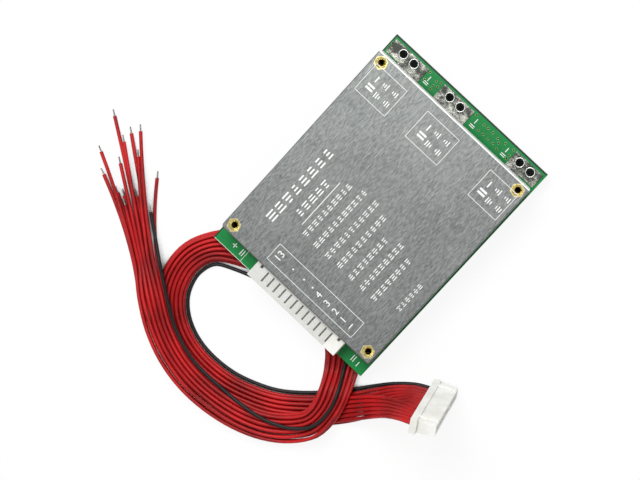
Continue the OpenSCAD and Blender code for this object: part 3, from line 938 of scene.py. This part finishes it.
# %% Where the vias are
via_spots = [(-31.6, 41.1), (-31.6, 39.4), (-16.6, 42.4), (-16.4, 39.6), (-13.2, 41.7),
             (-11.7, 42.3), (-13, 39.9), (-11.7, 40.7), (-13, 38.6), (3.4, 42.6),
             (7.2, 41.9), (8.9, 42), (7.1, 39.5), (9, 39.5), (11, 42), (13.3, 41.7),
             (11.1, 39.5), (13.2, 39.6), (14.5, 40.8), (15.2, 38.9), (16.2, 42.2),
             (19.4, 42.4), (19.5, 40.3), (19.6, 38.9)]
via_piece = vias.run("board_vias", line_mesh("via_points",
                     [Vector((x * MM, y * MM, board_hi.z)) for x, y in via_spots]),
                     Finish=via_metal)
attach(via_piece, "root")
print("vias:", len(via_spots))

# %% Printed signs on the board
def mark(a, b, width=0.26):
    """A printed line from a to b on the board, in millimetres."""
    return strip(a, b, width, on_board)


arm = 0.9
board_parts = []
for x, y in ((-15.4, 40.7), (4.6, 41), (17.9, 41)):  # a minus and two bars beside each pad
    board_parts += [mark((x, y - arm), (x, y + arm)), mark((x - arm, 38.7), (x + arm, 38.7)),
                    mark((x - arm, 39.3), (x + arm, 39.3))]
for x, y, bar_x in ((-25.5, -41.2, -22.6), (29.2, -41.8, 26.6)):  # and at the header's two ends
    board_parts += [mark((x, y - arm), (x, y + arm)), mark((bar_x, -42.4), (bar_x, -40.2)),
                    mark((bar_x + 0.8, -42.4), (bar_x + 0.8, -40.2))]
board_parts.append(mark((-25.5 - arm, -41.2), (-25.5 + arm, -41.2)))  # makes the first one a plus
board_parts.append(mark((-20.9, -43.6), (-20.9, -38.4), 0.14))
rim_y = board_lo.y / MM + 0.16
board_parts.append(mark((-32.3, rim_y), (-16.6, rim_y), 0.12))
board_print = joined("board_print", board_parts, white_ink)
print("board print:", len(board_parts), "shapes")

# %% [markdown]
# ## Rims of the cable holes
# Solder wets the plated wall of each cable hole and stands round it as a bright, smooth rim.
# A ring with a round section does it, so the tree of the wires is used again on a closed line.

# %% Bright solder rims
def bright_rim():
    f = Finish("bright_rim", Metallic=0.85)
    soft, fine = f.noise(0.9 * MM), f.noise(0.15 * MM, 2.0)
    f.set("Base Color", f.blend(soft, (232, 234, 230), (252, 252, 250)))
    f.set("Roughness", 0.3 + fine * 0.16)
    f.bump(soft + fine * 0.3, 0.05 * MM, 0.5)
    return f.material


rim_metal = bright_rim()
rim_r = 1.48 * MM
for name, x in pad_middle.items():
    for side in (-1, 1):
        centre = Vector((x + side * hole_aside, hole_row)) * MM
        top = corners(f"{name}_pad")[1].z - 0.05 * MM
        loop = [Vector((centre.x + rim_r * math.cos(a), centre.y + rim_r * math.sin(a), top))
                for a in (math.tau * i / 48 for i in range(49))]
        rim = tube.run(f"rim_{name}_{'left' if side < 0 else 'right'}", line_mesh("loop", loop),
                       Radius=0.16 * MM, Sides=10, Finish=rim_metal)
        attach(rim, "root")
print("rims with", triangles(rim), "triangles each")

# %% [markdown]
# ## Floor, lamps and surroundings
# Pale sheen and soft shadows come from large lamps. The floor and the surroundings look white
# to the camera through Light Path, so the lamps can stay at a plain level and the colours
# render as they are written. Under the board, and wherever Ambient Occlusion tells that
# something stands close above the floor, that added white is left out and the floor's own
# colour is painted dark grey, a painted shadow: the cable holes and the gaps between the
# wires look into it.

# %% The floor
def white_floor():
    f = Finish("floor", Roughness=0.9)
    seen = f.node("ShaderNodeEmission", {"Color": (1, 1, 1, 1), "Strength": 1.0})
    path = f.node("ShaderNodeLightPath")
    open_sky = Sig(f, f.node("ShaderNodeAmbientOcclusion", {"Distance": 8 * MM},
                             samples=8).outputs["AO"])
    across, along = f.axis("X").abs() / board_hi.x, f.axis("Y").abs() / board_hi.y
    # Painted shadow: clear falls to 0 under the board and where Ambient Occlusion finds something
    # close above; there the floor's colour is painted dark grey and the camera's added white is
    # left out.
    clear = f.ramp(open_sky, 0.18, 0.5) * f.ramp(across.larger(along), 0.93, 1.0)
    f.set("Base Color", f.blend(clear, (54, 56, 55), (242, 242, 242)))
    share = Sig(f, path.outputs["Is Camera Ray"]) * clear * 0.9
    mixed = f.node("ShaderNodeMixShader", {0: share, 1: f.shader.outputs[0],
                   2: seen.outputs[0]})
    out = next(n for n in f.tree.nodes if n.type == "OUTPUT_MATERIAL")
    f.tree.links.new(mixed.outputs[0], out.inputs["Surface"])
    return f.material


floor_mesh = bpy.data.meshes.new("floor")
half = 3  # of the floor's width, in metres
floor_mesh.from_pydata([(-half, -half, 0), (half, -half, 0), (half, half, 0), (-half, half, 0)],
                       [], [(0, 1, 2, 3)])
floor_mesh.materials.append(white_floor())
floor = bpy.data.objects.new("floor", floor_mesh)
bpy.context.scene.collection.objects.link(floor)
print("floor ready")

# %% Lamps and world
def lamp(name, place, aim, size, power):
    made = bpy.data.objects.new(name, bpy.data.lights.new(name, "AREA"))
    made.data.shape, made.data.size, made.data.energy = "DISK", size, power
    made.location = place
    made.rotation_euler = (Vector(aim) - Vector(place)).to_track_quat("-Z", "Y").to_euler()
    made.visible_camera = False
    bpy.context.scene.collection.objects.link(made)


lamp("key", (-0.32, 0.23, 0.73), (0, -0.02, 0), 0.5, 6.2)
lamp("fill", (0.6, -0.5, 0.8), (0, -0.02, 0), 0.7, 1.2)

world = bpy.data.worlds.new("surroundings")
bpy.context.scene.world = world
world.use_nodes = True
air = world.node_tree
air.nodes.clear()
plain, white = air.nodes.new("ShaderNodeBackground"), air.nodes.new("ShaderNodeBackground")
plain.inputs["Strength"].default_value = 0.42
white.inputs["Strength"].default_value = 1.0
for sky in (plain, white):
    sky.inputs["Color"].default_value = (1, 1, 1, 1)
path = air.nodes.new("ShaderNodeLightPath")
mix, out = air.nodes.new("ShaderNodeMixShader"), air.nodes.new("ShaderNodeOutputWorld")
air.links.new(path.outputs["Is Camera Ray"], mix.inputs[0])
air.links.new(plain.outputs[0], mix.inputs[1])
air.links.new(white.outputs[0], mix.inputs[2])
air.links.new(mix.outputs[0], out.inputs["Surface"])
bpy.context.scene.view_settings.view_transform = "Standard"
print("lamps and world ready")

# %% Bringing the scene up to date
bpy.context.view_layer.update()
